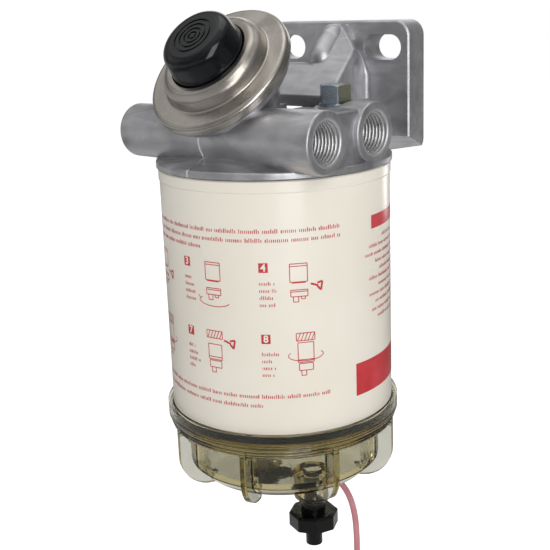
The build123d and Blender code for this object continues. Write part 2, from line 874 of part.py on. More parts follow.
def center_tube():
    low = ring_top_z + cap_sheet
    solid = pipe(element_core_r, element_core_r - core_wall, low, element_top_z)
    step = (element_top_z - low) / (core_hole_rows + 1)
    hole = Rot(0, 90, 0) * Cylinder(core_hole_r, 2 * element_core_r + 4)
    for row in range(core_hole_rows):
        for index in range(core_hole_count // 2):
            solid -= Pos(0, 0, low + step * (row + 1)) * Rot(0, 0, 360 * index / core_hole_count) * hole
    return solid


def filter_media():
    """Pleated paper: one zigzag band round the core."""
    outer = element_r - cap_sheet - pleat_clear
    inner = element_core_r + pleat_clear
    points = []
    for index in range(pleat_count):
        angle = 2 * pi * index / pleat_count
        half = pi / pleat_count
        points.append((outer * cos(angle), outer * sin(angle), 0))
        points.append((inner * cos(angle + half), inner * sin(angle + half), 0))
    back = []
    for index in range(pleat_count):
        angle = 2 * pi * index / pleat_count
        half = pi / pleat_count
        near = outer - 2 * pleat_thick
        far = inner - pleat_clear * 0.6
        back.append((near * cos(angle), near * sin(angle), 0))
        back.append((far * cos(angle + half), far * sin(angle + half), 0))
    low = ring_top_z + cap_sheet
    height = element_top_z - low
    face = make_face(Polyline(points, close=True)) - make_face(Polyline(back, close=True))
    return Pos(0, 0, low) * extrude(face, height, dir=(0, 0, 1))


def bottom_ring():
    inner = collar_r + fit_gap
    outer = can_r - can_sheet - fit_gap
    low = can_bottom_z + can_sheet
    web_z = low + ring_height - ring_notch_depth - ring_web
    points = [(inner, low), (inner + ring_wall, low), (inner + ring_wall, web_z), (outer - can_sheet, web_z),
              (outer - can_sheet, low), (outer, low), (outer, web_z + ring_web),
              (inner + ring_wall, web_z + ring_web), (inner + ring_wall, ring_top_z), (inner, ring_top_z)]
    solid = turned(points)
    notch = block((inner - 1, inner + ring_wall + 1), (-ring_notch_width / 2, ring_notch_width / 2),
                  (ring_top_z - ring_notch_depth, ring_top_z + 1))
    for index in range(ring_notch_count):
        solid -= Rot(0, 0, 360 * index / ring_notch_count) * notch
    return solid


# Clear bowl
def fin():
    """One upright fin with a large round lower corner, along +X."""
    outer = lip_r - fin_set_in
    top = channel_z - lip_step_height - 1.0
    low = floor_z - fin_drop
    bend = outer - fin_corner
    half = sqrt(0.5)
    line = Polyline((fin_root_r + 3, 0, floor_z + 1), (fin_root_r + 3, 0, top), (outer, 0, top),
                    (outer, 0, low + fin_corner))
    arc = ThreePointArc((outer, 0, low + fin_corner),
                        (bend + fin_corner * half, 0, low + fin_corner * (1 - half)), (bend, 0, low))
    close = Polyline((bend, 0, low), (fin_root_r + 1.5, 0, low), (fin_root_r - 1, 0, floor_z + 1),
                     (fin_root_r + 3, 0, floor_z + 1))
    face = make_face(Curve() + [line, arc, close])
    solid = extrude(face, fin_thick / 2, both=True, dir=(0, 1, 0))
    return solid


def bowl():
    inner = collar_r - collar_wall
    wall = inner + bowl_wall
    step_r = lip_r - lip_step
    step_z = lip_top_z - lip_height
    neck_z = step_z - 2 * lip_step_height
    low = floor_z
    shape = turned([
        (0, low), (wall - bowl_corner, low), (wall, low + bowl_corner), (wall, neck_z - neck_drop),
        (step_r - lip_step, neck_z), (step_r - lip_step, step_z - lip_step_height),
        (step_r, step_z - lip_step_height), (step_r, step_z), (lip_r, step_z), (lip_r, lip_top_z),
        (lip_r - lip_wall, lip_top_z), (lip_r - lip_wall, channel_z), (collar_r, channel_z),
        (collar_r, channel_z + collar_height), (inner, channel_z + collar_height),
        (inner, low + bowl_floor + bowl_corner - 1), (inner - bowl_corner + 1, low + bowl_floor),
        (0, low + bowl_floor)])
    bowl_fin = fin()
    for index in range(fin_count):
        shape += Rot(0, 0, fin_turn + 360 * index / fin_count) * bowl_fin
    shape -= rod(inner, low + bowl_floor + bowl_corner, channel_z + collar_height + 1)
    for x, y in ((drain_x, drain_y), (probe_x, probe_y)):
        boss = rod(boss_r, boss_z, floor_z + 1, x, y)
        shape += chamfer(boss.edges().filter_by(GeomType.CIRCLE).sort_by(Axis.Z)[0], boss_edge)
        shape -= rod(boss_bore_r, boss_z - 1, floor_z + bowl_floor + 1, x, y)
    return shape


def soft_ring(inner, width, low, height, corner):
    """A squeezed sealing ring: a rounded rectangle turned about Z."""
    section = Plane.XZ * Pos(inner + width / 2, low + height / 2) * RectangleRounded(width, height, corner)
    return revolve(section, Axis.Z)


def bowl_seal():
    inner = lip_r - lip_wall - run_gap - bowl_seal_width
    return soft_ring(inner, bowl_seal_width, channel_z, bowl_seal_height, bowl_seal_height * 0.4)


# Drain valve
def drain_valve():
    shank = boss_bore_r - fit_gap
    end_z = knob_z - knob_height - drain_stem_length
    solid = turned([(0, boss_z + shank_length), (shank - 0.6, boss_z + shank_length),
                    (shank, boss_z + shank_length - 0.6), (shank, drain_seal_z),
                    (drain_collar_r, drain_seal_z), (drain_collar_r, knob_z), (0, knob_z)])
    knob = extrude(RegularPolygon(knob_r, knob_sides), knob_height)
    knob = fillet(knob.edges().filter_by(Axis.Z), knob_edge)
    knob = chamfer(knob.faces().sort_by(Axis.Z)[-1].edges(), knob_edge)
    solid += Pos(0, 0, knob_z - knob_height) * knob
    solid += rod(drain_stem_r, end_z, knob_z - knob_height)
    solid -= rod(drain_bore_r, end_z - 1, boss_z + shank_length / 2)
    solid -= Pos(0, 0, boss_z + shank_length / 2) * Rot(0, 90, 0) * Cylinder(drain_bore_r / 2, 4 * shank)
    return Pos(drain_x, drain_y, 0) * solid


def drain_seal():
    inner = boss_bore_r + run_gap
    ring = soft_ring(inner, drain_seal_wall, drain_seal_z, drain_seal_height, drain_seal_height * 0.3)
    return Pos(drain_x, drain_y, 0) * ring


# Water probe and its seal
def probe_seal():
    inner = boss_bore_r + run_gap
    ring = soft_ring(inner, drain_seal_wall, drain_seal_z, drain_seal_height, drain_seal_height * 0.3)
    return Pos(probe_x, probe_y, 0) * ring


def gland_z():
    return drain_seal_z - probe_head_height / 2


def water_probe():
    shank = boss_bore_r - fit_gap
    low = drain_seal_z - probe_head_height
    solid = rod(shank, drain_seal_z, boss_z + shank_length)
    solid += rod(probe_pin_r, boss_z + shank_length, boss_z + shank_length + probe_pin_length)
    head = rod(probe_head_r, low, drain_seal_z)
    solid += chamfer(head.edges().filter_by(GeomType.CIRCLE), 0.8)
    solid += Pos(0, 0, gland_z()) * Rot(0, 90, 0) * rod(gland_r, 0, gland_reach)
    solid = Rot(0, 0, gland_turn) * solid
    return Pos(probe_x, probe_y, 0) * solid


# Lead, its hank, tie and connector
def lead_points():
    turn = radians(gland_turn)
    points = []
    for along, down, aside in lead_route:
        reach = gland_reach + along
        points.append(Vector(probe_x + reach * cos(turn) - aside * sin(turn),
                             probe_y + reach * sin(turn) + aside * cos(turn), gland_z() + down))
    return points


def lead():
    points = lead_points()
    runs = [b - a for a, b in zip(points, points[1:])]
    radii = []
    for before, after in zip(runs, runs[1:]):
        turn = radians(before.get_angle(after))
        radii.append(0.45 * min(before.length, after.length) / tan(turn / 2))
    path = FilletPolyline(*points, radius=radii)
    section = Plane(origin=points[0], z_dir=runs[0]) * Circle(lead_d / 2)
    solid = sweep(section, path=path)
    print("lead bend radii", [round(radius, 1) for radius in radii])
    print("lead tube length", round(path.length, 1), "volume over section",
          round(solid.volume / (pi * lead_d ** 2 / 4), 1))
    return solid


def hank_place():
    end = lead_points()[-1]
    return Location((end.X, end.Y, end.Z), (0, 0, gland_turn))


def oblong(width, thick, z):
    return Plane(origin=(0, 0, z)) * RectangleRounded(width, thick, thick * 0.45)


def lead_hank():
    quarter = hank_length * 0.22
    low = -hank_length
    sections = [oblong(hank_width * 0.45, lead_d * 1.3, 0), oblong(hank_width, hank_thick, -quarter),
                oblong(hank_waist, hank_thick, -hank_length / 2),
                oblong(hank_width, hank_thick, low + quarter), oblong(hank_width * 0.45, lead_d * 1.3, low)]
    return hank_place() * loft([section.face() for section in sections])


def lead_tie():
    mid = -hank_length / 2
    outer = oblong(hank_waist + 2 * tie_wall + 2, hank_thick + 2 * tie_wall + 1, mid - tie_height / 2)
    inner = oblong(hank_waist + 2, hank_thick + 1, mid - tie_height / 2)
    return hank_place() * extrude(outer - inner, tie_height, dir=(0, 0, 1))


def lead_connector():
    r = connector_r
    solid = turned([(0, 0), (r * 0.7, 0), (r, -r * 0.6), (r, -connector_length * 0.6),
                    (r * 0.8, -connector_length * 0.62), (r * 0.8, -connector_length),
                    (0, -connector_length)])
    return hank_place() * Pos(0, 0, -hank_length) * solid


pieces = {
    "head_casting": head_casting,
    "center_stud": center_stud,
    "pump_cover": pump_cover,
    "diaphragm": diaphragm,
    "upper_plate": upper_plate,
    "lower_plate": lower_plate,
    "pump_rod": pump_rod,
    "pump_knob": pump_knob,
    "pump_spring": pump_spring,
    "inlet_valve": lambda: umbrella_valve(-1),
    "outlet_valve": lambda: umbrella_valve(1),
    "vent_plug": vent_plug,
    "vent_seal": vent_seal,
    "can_shell": can_shell,
    "gasket_retainer": gasket_retainer,
    "thread_plate": thread_plate,
    "can_gasket": can_gasket,
    "element_grommet": element_grommet,
    "upper_end_cap": upper_end_cap,
    "filter_media": filter_media,
    "center_tube": center_tube,
    "lower_end_cap": lower_end_cap,
    "bottom_ring": bottom_ring,
    "bowl": bowl,
    "bowl_seal": bowl_seal,
    "drain_valve": drain_valve,
    "drain_seal": drain_seal,
    "water_probe": water_probe,
    "probe_seal": probe_seal,
    "lead": lead,
    "lead_hank": lead_hank,
    "lead_tie": lead_tie,
    "lead_connector": lead_connector,
}


def write_out():
    """Move each piece so that the origin is between the slots, on the bracket's back."""
    os.makedirs("parts", exist_ok=True)
    shift = Pos(-bracket_x, -(bracket_front_y + bracket_depth), -slot_z)
    for name, build in pieces.items():
        export_step(shift * build(), "parts/" + name + ".step")


write_out()
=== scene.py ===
import random
from math import cos, pi, radians, sin, tau
from types import SimpleNamespace

import bpy
from mathutils import Matrix, Vector


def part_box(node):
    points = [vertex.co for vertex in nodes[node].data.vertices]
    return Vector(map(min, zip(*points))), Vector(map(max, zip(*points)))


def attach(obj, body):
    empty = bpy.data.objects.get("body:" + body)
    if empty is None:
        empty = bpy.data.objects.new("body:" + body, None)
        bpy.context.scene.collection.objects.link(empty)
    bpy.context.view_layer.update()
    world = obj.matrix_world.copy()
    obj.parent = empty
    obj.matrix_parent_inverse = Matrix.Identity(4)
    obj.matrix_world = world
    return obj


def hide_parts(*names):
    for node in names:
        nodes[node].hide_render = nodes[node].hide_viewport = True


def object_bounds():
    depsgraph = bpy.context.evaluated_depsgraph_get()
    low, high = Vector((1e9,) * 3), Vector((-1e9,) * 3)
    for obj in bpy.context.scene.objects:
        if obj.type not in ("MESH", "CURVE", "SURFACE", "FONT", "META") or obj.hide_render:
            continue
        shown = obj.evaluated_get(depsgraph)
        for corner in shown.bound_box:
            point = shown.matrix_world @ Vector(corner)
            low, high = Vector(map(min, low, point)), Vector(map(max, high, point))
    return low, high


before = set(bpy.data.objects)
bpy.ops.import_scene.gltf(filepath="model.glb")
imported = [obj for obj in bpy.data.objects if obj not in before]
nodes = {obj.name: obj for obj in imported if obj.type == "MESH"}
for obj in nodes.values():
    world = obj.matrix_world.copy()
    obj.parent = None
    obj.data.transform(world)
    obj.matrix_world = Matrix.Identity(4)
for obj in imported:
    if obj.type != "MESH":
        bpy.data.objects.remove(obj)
model_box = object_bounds()
scene = bpy.context.scene

# Camera at the photograph's place: about half a metre from the can, to the right of its front,
# looking down a little, with a slight roll.
camera_place = Vector((0.30809, -0.43249, 0.02616))
camera_turn = radians(40.0)
camera_down = radians(15.29)
camera_roll = -0.038
lens_data = bpy.data.cameras.new("camera")
lens_data.sensor_width = 36.0
lens_data.lens = 67.15
camera = bpy.data.objects.new("camera", lens_data)
scene.collection.objects.link(camera)
camera.matrix_world = (
    Matrix.Translation(camera_place)
    @ Matrix.Rotation(camera_turn, 4, "Z")
    @ Matrix.Rotation(pi / 2 - camera_down, 4, "X")
    @ Matrix.Rotation(camera_roll, 4, "Z")
)
scene.camera = camera
scene.view_settings.view_transform = "Standard"

# Studio: white paper behind and under the hanging part, a tall window and four soft lamps. What
# the metal mirrors runs from a dim room near the level of the eye to bright panels overhead.


def paint(code):
    """A linear colour from an sRGB hex value."""
    parts = [int(code[i:i + 2], 16) / 255 for i in (0, 2, 4)]
    linear = [p / 12.92 if p <= 0.04045 else ((p + 0.055) / 1.055) ** 2.4 for p in parts]
    return (*linear, 1.0)


def node(tree, kind, links=None, **settings):
    """A new node, with its own settings and then its inputs, each a value or another node's output."""
    made = tree.nodes.new(kind)
    for name, value in settings.items():
        setattr(made, name, value)
    for name, value in (links or {}).items():
        if isinstance(value, bpy.types.NodeSocket):
            tree.links.new(value, made.inputs[name])
        else:
            made.inputs[name].default_value = value
    return made


def step(tree, operation, *values):
    """What one step of arithmetic gives, such as MULTIPLY or LESS_THAN."""
    return node(tree, "ShaderNodeMath", dict(enumerate(values)), operation=operation).outputs[0]


def vector_step(tree, operation, *values):
    """What one step of arithmetic on vectors gives: a vector, or a number for a length or a dot product."""
    made = node(tree, "ShaderNodeVectorMath", dict(enumerate(values)), operation=operation)
    return made.outputs["Value" if operation in ("LENGTH", "DOT_PRODUCT") else 0]


def spread(tree, value, low, high, at_low=0.0, at_high=1.0):
    """A value that runs from at_low to at_high while the given one runs from low to high."""
    return node(tree, "ShaderNodeMapRange", {0: value, 1: low, 2: high, 3: at_low, 4: at_high}).outputs[0]


def mix(tree, share, under, over, way="MIX"):
    """One colour laid over another by its share."""
    return node(tree, "ShaderNodeMix", {0: share, 6: under, 7: over}, data_type="RGBA",
                blend_type=way).outputs[2]


def noise(tree, place, scale, detail, **more):
    """A cloudy value about 0.5, with so many clouds to the metre."""
    inputs = {"Vector": place, "Scale": scale, "Detail": detail, **more}
    return node(tree, "ShaderNodeTexNoise", inputs).outputs[0]


def by_ray(tree, for_most, for_glossy, for_transmission, for_camera):
    """One of four strengths, by the kind of ray that asks."""
    path = node(tree, "ShaderNodeLightPath")
    picked = for_most
    for kind, value in (("Is Glossy Ray", for_glossy), ("Is Transmission Ray", for_transmission),
                        ("Is Camera Ray", for_camera)):
        picked = node(tree, "ShaderNodeMix", {0: path.outputs[kind], 2: picked, 3: value}).outputs[0]
    return picked


def window_side(tree, toward):
    """A factor from 1.35 for what is mirrored on the left in front, to 0.65 on the right behind."""
    right_behind = (0.64, 0.77, 0.0)
    heading = vector_step(tree, "NORMALIZE", toward)
    beyond = vector_step(tree, "DOT_PRODUCT", heading, right_behind)
    return step(tree, "MULTIPLY_ADD", beyond, -0.35, 1.0)


white = paint("FFFFFF")
world = bpy.data.worlds.new("studio")
world.use_nodes = True
tree = world.node_tree
tree.nodes.clear()
toward = node(tree, "ShaderNodeTexCoord").outputs["Generated"]
height = node(tree, "ShaderNodeSeparateXYZ", {0: toward}).outputs[2]
room = node(tree, "ShaderNodeValToRGB", {0: spread(tree, height, -1.0, 1.0)})
stops = room.color_ramp.elements
for at, tone in ((0.0, 0.26), (0.5, 0.26), (0.57, 0.22), (0.68, 0.25), (0.82, 0.3), (1.0, 0.26)):
    stops.new(at).color = (tone, tone, tone, 1.0)
stops.remove(stops[0])
stops.remove(stops[-1])
panels = spread(tree, noise(tree, toward, 1.7, 1.0), 0.38, 0.62, 0.7, 1.25)
mirrored = step(tree, "MULTIPLY", room.outputs[0], panels)
mirrored = step(tree, "MULTIPLY", mirrored, window_side(tree, toward))
through = spread(tree, height, 0.05, 0.45, 0.8, 0.4)
strength = by_ray(tree, for_most=0.55, for_glossy=mirrored, for_transmission=through, for_camera=1.0)
around = node(tree, "ShaderNodeBackground", {"Color": white, "Strength": strength})
node(tree, "ShaderNodeOutputWorld", {"Surface": around.outputs[0]})
scene.world = world

# The paper on the floor is mirrored in soft patches: bright right under the part, darker in a
# ring round that, and a middle grey further out.
floor_z = model_box[0].z - 0.004
reach = 6.0
floor_mesh = bpy.data.meshes.new("floor")
floor_mesh.from_pydata([(-reach, -reach, floor_z), (reach, -reach, floor_z), (reach, reach, floor_z),
                        (-reach, reach, floor_z)], [], [(0, 1, 2, 3)])
floor = bpy.data.objects.new("floor", floor_mesh)
scene.collection.objects.link(floor)
floor_paint = bpy.data.materials.new("white_paper")
floor_paint.use_nodes = True
tree = floor_paint.node_tree
tree.nodes.clear()
place = node(tree, "ShaderNodeTexCoord").outputs["Object"]
away = vector_step(tree, "LENGTH", place)
patches = spread(tree, noise(tree, place, 2.2, 1.0), 0.38, 0.62, 0.34, 0.56)
near = spread(tree, away, 0.35, 0.65, 1.35, 0.45)
far = spread(tree, away, 0.8, 1.3, 0.0, 0.45)
dim = step(tree, "MULTIPLY", step(tree, "ADD", near, far), patches)
dim = step(tree, "MULTIPLY", dim, window_side(tree, place))
shown = by_ray(tree, for_most=0.0, for_glossy=dim, for_transmission=0.45, for_camera=0.55)
matt_share = by_ray(tree, for_most=1.0, for_glossy=0.0, for_transmission=0.6, for_camera=1.0)
glow = node(tree, "ShaderNodeEmission", {"Color": white, "Strength": shown})
tint = mix(tree, matt_share, paint("000000"), paint("EDEDED"))
matt = node(tree, "ShaderNodeBsdfDiffuse", {"Color": tint})
both = node(tree, "ShaderNodeAddShader", {0: matt.outputs[0], 1: glow.outputs[0]})
node(tree, "ShaderNodeOutputMaterial", {"Surface": both.outputs[0]})
floor_mesh.materials.append(floor_paint)

aim = Vector((0.0, -0.06, -0.09))
for name, spot, wide, tall, watts in (
        ("window", (0.97, -0.76, 0.26), 0.55, 1.3, 7.8),
        ("side_lamp", (-1.15, -0.75, 0.45), 0.7, 0.7, 0.35),
        ("top_lamp", (-0.1, 0.25, 1.25), 0.8, 0.8, 1.8),
        ("back_lamp", (-0.75, 1.25, 0.35), 1.1, 1.1, 4.5),
        ("rim_lamp", (0.05, 0.64, -0.18), 0.16, 0.07, 0.1)):
    data = bpy.data.lights.new(name, "AREA")
    data.shape = "RECTANGLE"
    data.size = wide
    data.size_y = tall
    data.energy = watts
    lamp = bpy.data.objects.new(name, data)
    lamp.location = spot
    lamp.rotation_mode = "QUATERNION"
    lamp.rotation_quaternion = (aim - Vector(spot)).to_track_quat("-Z", "Y")
    scene.collection.objects.link(lamp)

# Head casting: high-pressure die-cast aluminium, left as it came out of the die. The skin is
# satin with cloudy flow marks, and the two ports are bored bright.


def bump(tree, height, depth, under):
    """A normal with a height drawn on top of the relief that is there already."""
    return node(tree, "ShaderNodeBump", {"Distance": depth, "Height": height, "Normal": under}).outputs[0]


def surface(name, dark, light, rough, cloud=60.0, grit=1200.0, depth=0.00004, metal=0.0, edge=0.0003,
            gleam=0.5):
    """A material whose tone and gloss drift in clouds between two values, over a fine grain.
    cloud and grit are per metre: 60 is a drift over some 17 mm, 1200 a grain of under 1 mm.
    edge is the radius to which the light finds the sharp edges worn, gleam the specular level."""
    made = bpy.data.materials.new(name)
    made.use_nodes = True
    tree = made.node_tree
    tree.nodes.clear()
    place = node(tree, "ShaderNodeTexCoord").outputs["Object"]
    drift = noise(tree, place, cloud, 4.0)
    tone = mix(tree, spread(tree, drift, 0.3, 0.7), paint(dark), paint(light))
    gloss = spread(tree, drift, 0.3, 0.7, *rough)
    edges = node(tree, "ShaderNodeBevel", {"Radius": edge}, samples=6)
    relief = bump(tree, noise(tree, place, grit, 2.0), depth, edges.outputs[0])
    shader = node(tree, "ShaderNodeBsdfPrincipled", {
        "Base Color": tone, "Roughness": gloss, "Normal": relief, "Metallic": metal,
        "Specular IOR Level": gleam})
    node(tree, "ShaderNodeOutputMaterial", {"Surface": shader.outputs[0]})
    return SimpleNamespace(material=made, tree=tree, shader=shader, place=place, tone=tone, relief=relief)


def feed(made, socket, output):
    """Links an output to one of a material's own inputs."""
    made.tree.links.new(output, made.shader.inputs[socket])


def dress(made, *names):
    """Gives CAD nodes a material."""
    for name in names:
        nodes[name].data.materials.clear()
        nodes[name].data.materials.append(made.material)


port_axes = (Vector((0.0, -0.0935, -0.0340)), Vector((0.0, -0.0578, -0.0340)))
port_face = 0.0545
bored_radius = 0.0106
bored_depth = 0.018
cast = surface("die_cast_aluminium", "B6B6BA", "D4D4D6", (0.34, 0.5), cloud=75.0, grit=1500.0, metal=0.9,
               edge=0.0006)
tree = cast.tree
flow = node(tree, "ShaderNodeMapping", {"Vector": cast.place, "Scale": (40.0, 160.0, 90.0)})
flow = noise(tree, flow.outputs[0], 1.0, 3.0, Distortion=1.2)
marked = mix(tree, 1.0, cast.tone, spread(tree, flow, 0.42, 0.62, 1.0, 0.82), "MULTIPLY")
inside = []
for axis in port_axes:
    off = vector_step(tree, "SUBTRACT", cast.place, axis)
    off = vector_step(tree, "MULTIPLY", off, (0.0, 1.0, 1.0))
    inside.append(step(tree, "LESS_THAN", vector_step(tree, "LENGTH", off), bored_radius))
along = node(tree, "ShaderNodeSeparateXYZ", {0: cast.place}).outputs
deep = step(tree, "GREATER_THAN", along[0], port_face - bored_depth)
bored = step(tree, "MULTIPLY", step(tree, "MAXIMUM", *inside), deep)

# The die's parting line runs as a low flash down the front passage and across the shoulder, where it
# slants. A thin line along it is painted bright, a painted highlight that stands in for the glint of the
# flash ridge.
flash_x = -0.0067
flash_half = 0.00038
flash_top = -0.0325
flash_front = -0.1175
flash_back = -0.1025
shoulder_z = -0.0425
slant_front = -0.1205
slant_back = -0.0985
slant = 0.0030
aside = step(tree, "SUBTRACT", along[0], flash_x)
lean = spread(tree, along[1], slant_front, slant_back, slant, 0.0)
lean = step(tree, "MULTIPLY", lean, step(tree, "LESS_THAN", along[2], shoulder_z))
aside = step(tree, "ABSOLUTE", step(tree, "SUBTRACT", aside, lean))
# Painted highlight: a thin bright line along the parting flash. The bored ports share its bright colour as
# their own.
flash_highlight = step(tree, "LESS_THAN", aside, flash_half)
behind_lip = spread(tree, along[1], flash_front - 0.0001, flash_front)
in_front = step(tree, "MULTIPLY", spread(tree, along[1], flash_back, flash_back - 0.0001), behind_lip)
flash_highlight = step(tree, "MULTIPLY", flash_highlight, in_front)
flash_highlight = step(tree, "MULTIPLY", flash_highlight, step(tree, "LESS_THAN", along[2], flash_top))
bored_and_flash_highlight = step(tree, "MAXIMUM", bored, flash_highlight)
feed(cast, "Base Color", mix(tree, bored_and_flash_highlight, marked, paint("DCDCDD")))
# Less metal on the painted highlight keeps it bright whatever it mirrors.
feed(cast, "Metallic", spread(tree, flash_highlight, 0.0, 1.0, 0.9, 0.25))
dress(cast, "head_casting")

# Port threads: cut into the two bores of the casting, bright, about 1.8 mm from turn to turn.
# They are ridges along a helix, on top of the plain bore.
thread_depth = 0.0164
cut = surface("cut_aluminium", "DADADB", "EAEAEA", (0.26, 0.38), cloud=300.0, metal=0.9)
threads = bpy.data.node_groups.new("threads", "GeometryNodeTree")
for name, kind in (("Turns", "Float"), ("Pitch", "Float"), ("Radius", "Float"), ("Ridge", "Float"),
                   ("First", "Vector"), ("Step", "Vector")):
    threads.interface.new_socket(name, in_out="INPUT", socket_type="NodeSocket" + kind)
threads.interface.new_socket("Mesh", in_out="OUTPUT", socket_type="NodeSocketGeometry")
given = node(threads, "NodeGroupInput").outputs
helix = node(threads, "GeometryNodeCurveSpiral", {
    "Resolution": 72, "Rotations": given["Turns"], "Start Radius": given["Radius"],
    "End Radius": given["Radius"], "Height": step(threads, "MULTIPLY", given["Turns"], given["Pitch"])})
upright = node(threads, "GeometryNodeSetCurveNormal", {"Curve": helix.outputs[0]}, mode="Z_UP")
ridge = node(threads, "GeometryNodeCurvePrimitiveCircle", {"Resolution": 4, "Radius": given["Ridge"]})
swept = node(threads, "GeometryNodeCurveToMesh", {
    "Curve": upright.outputs[0], "Profile Curve": ridge.outputs[0], "Fill Caps": True})
laid = node(threads, "GeometryNodeTransform", {"Geometry": swept.outputs[0], "Rotation": (0.0, pi / 2, 0.0)})
spots = node(threads, "GeometryNodeMeshLine", {
    "Count": 2, "Start Location": given["First"], "Offset": given["Step"]})
pair = node(threads, "GeometryNodeInstanceOnPoints", {
    "Points": spots.outputs[0], "Instance": laid.outputs[0]})
real = node(threads, "GeometryNodeRealizeInstances", {"Geometry": pair.outputs[0]})
node(threads, "NodeGroupOutput", {0: real.outputs[0]})


def plain_mesh(thing):
    """The mesh that an object shows once its modifiers or its text have been worked out."""
    bpy.context.view_layer.update()
    return bpy.data.meshes.new_from_object(thing.evaluated_get(bpy.context.evaluated_depsgraph_get()))


def from_nodes(name, group, values):
    """Runs a node group with the given inputs and keeps what it makes as a plain mesh."""
    carrier = bpy.data.objects.new(name + "_carrier", bpy.data.meshes.new(name + "_carrier"))
    scene.collection.objects.link(carrier)
    run = carrier.modifiers.new("run", "NODES")
    run.node_group = group
    for item in group.interface.items_tree:
        if item.item_type == "SOCKET" and item.name in values:
            run[item.identifier] = values[item.name]
    made = bpy.data.objects.new(name, plain_mesh(carrier))
    scene.collection.objects.link(made)
    bpy.data.objects.remove(carrier)
    return made


port_threads = from_nodes("port_threads", threads, {
    "Turns": 8.4, "Pitch": 0.0018, "Radius": 0.0094, "Ridge": 0.0007,
    "First": Vector((port_face - thread_depth, port_axes[0].y, port_axes[0].z)),
    "Step": port_axes[1] - port_axes[0]})
port_threads.data.materials.clear()
port_threads.data.materials.append(cut.material)
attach(port_threads, "head")

# Pump cover: a disc pressed from steel sheet and spun over the housing's rim, brushed round the
# pump's axis and a little stained with fuel.
pump_centre = Vector((-0.0057, -0.0932, -0.0039))
pump_tilt = -pi / 4
pressed = surface("pressed_steel", "A8A29A", "CBC5BD", (0.2, 0.34), cloud=45.0, grit=2500.0, depth=0.00001,
                  metal=1.0)
tree = pressed.tree
local = node(tree, "ShaderNodeMapping", {
    "Vector": pressed.place, "Location": -(Matrix.Rotation(pump_tilt, 3, "X") @ pump_centre),
    "Rotation": (pump_tilt, 0.0, 0.0)})
flat = vector_step(tree, "MULTIPLY", local.outputs[0], (1.0, 1.0, 0.0))
radius = vector_step(tree, "LENGTH", flat)
rings = node(tree, "ShaderNodeTexNoise", {"W": radius, "Scale": 4200.0, "Detail": 2.0},
             noise_dimensions="1D").outputs[0]
shade = mix(tree, 1.0, pressed.tone, spread(tree, rings, 0.35, 0.65, 0.86, 1.06), "MULTIPLY")
stain = noise(tree, pressed.place, 38.0, 5.0, Roughness=0.62)
shade = mix(tree, spread(tree, stain, 0.54, 0.66, 0.0, 0.55), shade, paint("8C867B"))
feed(pressed, "Base Color", shade)
feed(pressed, "Normal", bump(tree, rings, 0.00003, pressed.relief))
dress(pressed, "pump_cover")

# Pump knob: moulded black plastic, glossy, with a soft drift in its gloss where hands have been.
knob = surface("moulded_black_knob", "040608", "0A0D12", (0.09, 0.17), cloud=160.0, grit=900.0,
               depth=0.00001, gleam=0.4)
dress(knob, "pump_knob")

# Pump's inside: steel plates and rod, a coil spring, and the rubber diaphragm with its woven back.
steel = surface("tinned_steel", "B8B8B7", "D8D8D7", (0.25, 0.42), cloud=90.0, grit=1800.0, depth=0.00002,
                metal=1.0)
dress(steel, "upper_plate", "lower_plate", "pump_rod", "pump_spring", "gasket_retainer", "thread_plate",
      "upper_end_cap", "lower_end_cap", "center_tube")
rubber = surface("nitrile_rubber", "1D1B1B", "2F2B2A", (0.42, 0.62), cloud=120.0, grit=2200.0, depth=0.00003)
dress(rubber, "inlet_valve", "outlet_valve", "can_gasket", "element_grommet", "drain_seal", "probe_seal")
weave = surface("fabric_backed_rubber", "24211F", "36302C", (0.6, 0.75), cloud=80.0, grit=1500.0)
cloth = node(weave.tree, "ShaderNodeTexMagic", {"Vector": weave.place, "Scale": 700.0}, turbulence_depth=1)
feed(weave, "Normal", bump(weave.tree, cloth.outputs[1], 0.00006, weave.relief))
dress(weave, "diaphragm")

# Vent plug: a hexagon screw of zinc-plated steel on a plain washer, with a bluish passivation. Its faces
# toward the right and behind are painted olive, a painted reflection of what that side mirrors.
olive_reflection_side = Vector((0.64, 0.77, 0.0))
olive_reflection_fade = 0.0015
plug_low, plug_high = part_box("vent_plug")
plug_middle = olive_reflection_side.dot((Vector(plug_low) + Vector(plug_high)) / 2)
plated = surface("zinc_plated_steel", "848F9B", "A4AEB8", (0.2, 0.34), cloud=260.0, grit=1600.0, metal=0.9,
                 edge=0.0005)
# Painted reflection: the half of the plug that faces right and behind is turned olive.
across = vector_step(plated.tree, "DOT_PRODUCT", plated.place, olive_reflection_side)
olive_reflection_share = spread(plated.tree, across, plug_middle - olive_reflection_fade, plug_middle + olive_reflection_fade)
feed(plated, "Base Color", mix(plated.tree, olive_reflection_share, plated.tone, paint("A2A48E")))
dress(plated, "vent_plug", "vent_seal")

# Centre stud: turned from steel bar and threaded, seen when the can is off. Its thread is drawn
# by the shading, 14 turns to the inch.


def turned_about(tree, place, axis):
    """The angle round an upright axis, and the height on it."""
    xyz = node(tree, "ShaderNodeSeparateXYZ", {0: vector_step(tree, "SUBTRACT", place, axis)}).outputs
    return step(tree, "ARCTAN2", xyz[1], xyz[0]), xyz[2]


can_axis = Vector((-0.0007, -0.0620, 0.0))
stud_pitch = 0.001814
stud = surface("threaded_steel", "A6A6A6", "C6C6C4", (0.22, 0.34), cloud=200.0, grit=1800.0, metal=1.0)
angle, height = turned_about(stud.tree, stud.place, can_axis)
wave = step(stud.tree, "SINE", step(stud.tree, "MULTIPLY_ADD", height, tau / stud_pitch, angle))
feed(stud, "Normal", bump(stud.tree, wave, 0.0005, stud.relief))
dress(stud, "center_stud")

# Can: drawn steel, rolled at both ends and dipped in cream enamel, which lies smooth and glossy
# with a faint orange peel of about 2 mm.
enamel = surface("cream_enamel", "E6DFD1", "EBE5D9", (0.16, 0.26), cloud=25.0, grit=500.0, depth=0.00002)
dress(enamel, "can_shell")

